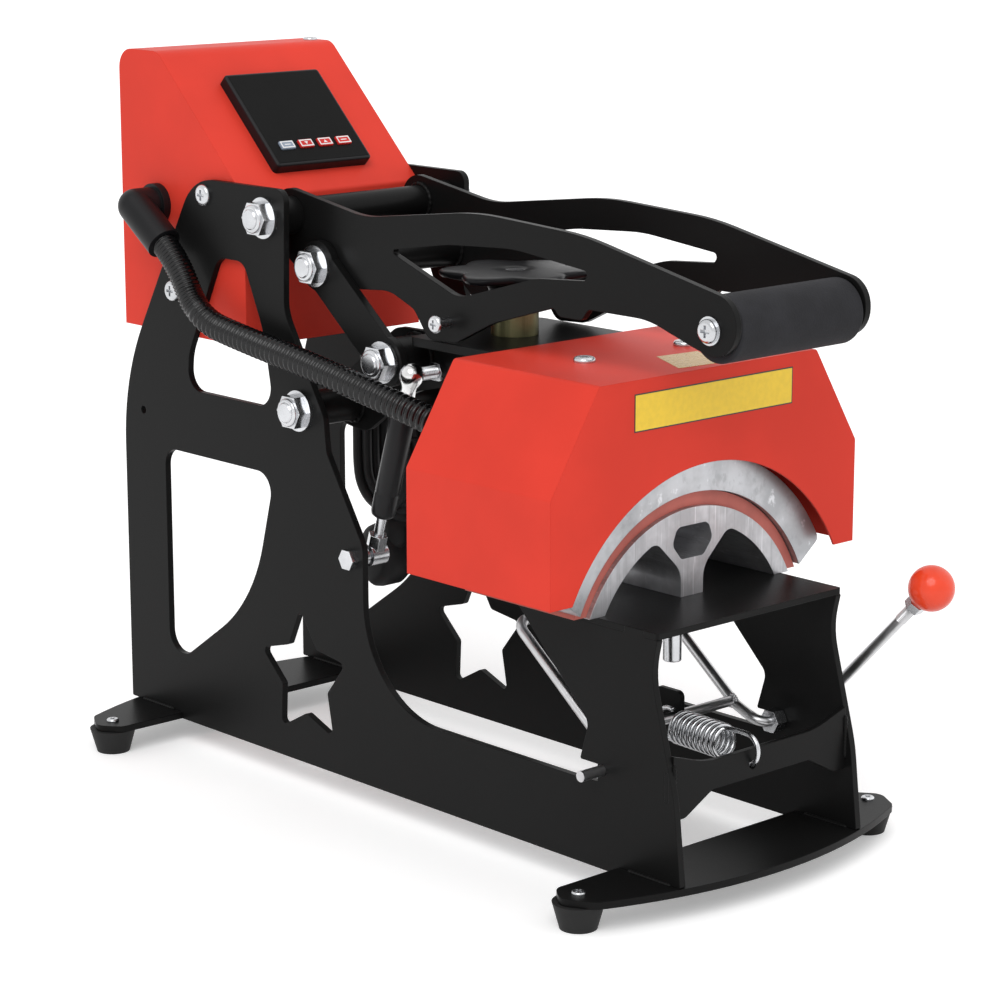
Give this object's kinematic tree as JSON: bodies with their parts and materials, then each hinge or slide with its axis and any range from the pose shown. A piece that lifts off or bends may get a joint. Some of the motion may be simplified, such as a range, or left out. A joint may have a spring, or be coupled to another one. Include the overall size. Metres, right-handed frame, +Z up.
{
  "type": "cap heat press",
  "caption": "Clamshell cap heat press: curved heated platen under a red cover, curved form, toggle handle, gas spring, controller box and sprung hold-down lever.",
  "frame": {"origin": "on the bench, midway between the two side plates and midway between the front and rear foot plates", "axes": "+X to the side of the ball lever, +Y to the rear, where the control box is, +Z up; the operator stands at -Y"},
  "size_m": [0.255, 0.5276, 0.4256],
  "materials": {
    "frame_black": "satin black powder coat",
    "cover_red": "satin red powder coat",
    "zinc": "bright zinc plated steel",
    "raw_aluminium": "machined aluminium with cutter marks",
    "pad_silicone": "salmon silicone sheet",
    "foam_grip": "soft black foam",
    "feet_rubber": "black rubber",
    "black_plastic": "fine textured black plastic",
    "knob_plastic": "glossy black plastic",
    "display": "dark display window",
    "button_grey": "blue-grey key",
    "button_red": "red key",
    "ball_red": "glossy orange-red plastic",
    "collar_olive": "dull olive passivated bush",
    "gas_black": "semi-gloss black lacquer",
    "conduit_plastic": "black corrugated plastic",
    "cord_jacket": "black cord jacket",
    "shield_steel": "bare sheet steel"
  },
  "bodies": {
    "frame": {"box_screws": "zinc", "conduit": "conduit_plastic", "conduit_elbow": "black_plastic", "control_box": "cover_red", "control_box_back": "cover_red", "controller_bezel": "black_plastic", "cord_gland": "black_plastic", "cord_hank": "cord_jacket", "display_window": "display", "foot_plates": "frame_black", "foot_screws": "zinc", "form_bolt": "zinc", "form_pad": "pad_silicone", "front_cross_plate": "frame_black", "fuse_holder": "black_plastic", "gas_stud_lower": "zinc", "hold_down_spring": "zinc", "lower_form": "raw_aluminium", "pivot_bolts": "zinc", "power_cord": "cord_jacket", "power_plug": "black_plastic", "rubber_feet": "feet_rubber", "side_plate_left": "frame_black", "side_plate_right": "frame_black", "switch_frame": "black_plastic", "table_plate": "frame_black"},
    "press_arm": {"arm_cheeks": "frame_black", "arm_hub": "frame_black", "arm_nose_tube": "zinc", "beam_plate": "frame_black", "adjuster_collar": "collar_olive", "head_cover": "cover_red", "cover_screws": "zinc", "heating_platen": "raw_aluminium", "platen_posts": "zinc", "heat_shield": "shield_steel", "conduit_collar": "black_plastic", "gas_stud_upper": "zinc", "link_lower_bolt": "zinc"},
    "spindle": {"pressure_spindle": "zinc"},
    "knob": {"pressure_knob": "knob_plastic"},
    "handle": {"handle_arm_left": "frame_black", "handle_arm_right": "frame_black", "handle_tubes": "frame_black", "handle_grip": "foam_grip", "handle_screws": "zinc", "grip_rod": "zinc"},
    "link_pair": {"links": "frame_black", "link_top_bolts": "zinc"},
    "gas_spring_rod": {"gas_rod": "zinc"},
    "gas_spring_cylinder": {"gas_cylinder": "gas_black"},
    "hold_down": {"hold_down_frame": "zinc", "hold_down_nuts": "zinc", "hold_down_tab": "frame_black", "ball_knob": "ball_red"},
    "key_mode": {"button_mode": "button_grey"},
    "key_down": {"button_down": "button_red"},
    "key_up": {"button_up": "button_red"},
    "key_enter": {"button_enter": "button_red"},
    "rocker": {"switch_rocker": "black_plastic"}
  },
  "joints": [
    {"name": "press_lift", "type": "hinge", "parent": "frame", "child": "press_arm", "pos_m": [0, 0.0706, 0.2265], "axis": [-1, 0, 0], "range_deg": [0, 42.5], "deforming": ["conduit"]},
    {"name": "handle_swing", "type": "hinge", "parent": "frame", "child": "handle", "pos_m": [0, 0.1004, 0.335], "axis": [-1, 0, 0], "range_deg": [0, 90]},
    {"name": "link_swing", "type": "hinge", "parent": "press_arm", "child": "link_pair", "pos_m": [0, 0.0128, 0.2606], "axis": [1, 0, 0], "range_deg": [0, 75.8]},
    {"name": "gas_swing", "type": "hinge", "parent": "frame", "child": "gas_spring_rod", "pos_m": [-0.0545, 0.0252, 0.1468], "axis": [-1, 0, 0], "range_deg": [0, 19.7]},
    {"name": "gas_stroke", "type": "slide", "parent": "gas_spring_rod", "child": "gas_spring_cylinder", "axis": [0, -0.2961, 0.9551], "range_m": [0, 0.0409]},
    {"name": "spindle_feed", "type": "slide", "parent": "press_arm", "child": "spindle", "axis": [0, 0, -1], "range_m": [0, 0.00525]},
    {"name": "knob_turn", "type": "hinge", "parent": "spindle", "child": "knob", "pos_m": [0, -0.0345, 0.308], "axis": [0, 0, -1], "range_deg": [0, 1080]},
    {"name": "hold_down_lift", "type": "hinge", "parent": "frame", "child": "hold_down", "pos_m": [0, -0.1793, 0.0692], "axis": [-1, 0, 0], "range_deg": [0, 20], "stiffness_Nm_per_rad": 1, "springref_deg": -8.59, "deforming": ["hold_down_spring"]},
    {"name": "rocker_tip", "type": "hinge", "parent": "frame", "child": "rocker", "pos_m": [-0.028, 0.2447, 0.385], "axis": [1, 0, 0], "range_deg": [0, 17.4]},
    {"name": "key_mode_press", "type": "slide", "parent": "frame", "child": "key_mode", "axis": [0, 0.6991, -0.7151], "range_m": [0, 0.0005], "stiffness_N_per_m": 60},
    {"name": "key_down_press", "type": "slide", "parent": "frame", "child": "key_down", "axis": [0, 0.6991, -0.7151], "range_m": [0, 0.0005], "stiffness_N_per_m": 60},
    {"name": "key_up_press", "type": "slide", "parent": "frame", "child": "key_up", "axis": [0, 0.6991, -0.7151], "range_m": [0, 0.0005], "stiffness_N_per_m": 60},
    {"name": "key_enter_press", "type": "slide", "parent": "frame", "child": "key_enter", "axis": [0, 0.6991, -0.7151], "range_m": [0, 0.0005], "stiffness_N_per_m": 60}
  ],
  "couplings": [
    {"joint": "handle_swing", "follows": "press_lift", "ratio": 2.1176},
    {"joint": "link_swing", "follows": "press_lift", "ratio": 1.7835},
    {"joint": "gas_swing", "follows": "press_lift", "ratio": 0.46353},
    {"joint": "gas_stroke", "follows": "press_lift", "m_per_rad": 0.055085},
    {"joint": "spindle_feed", "follows": "knob_turn", "m_per_rad": 0.0002785}
  ]
}
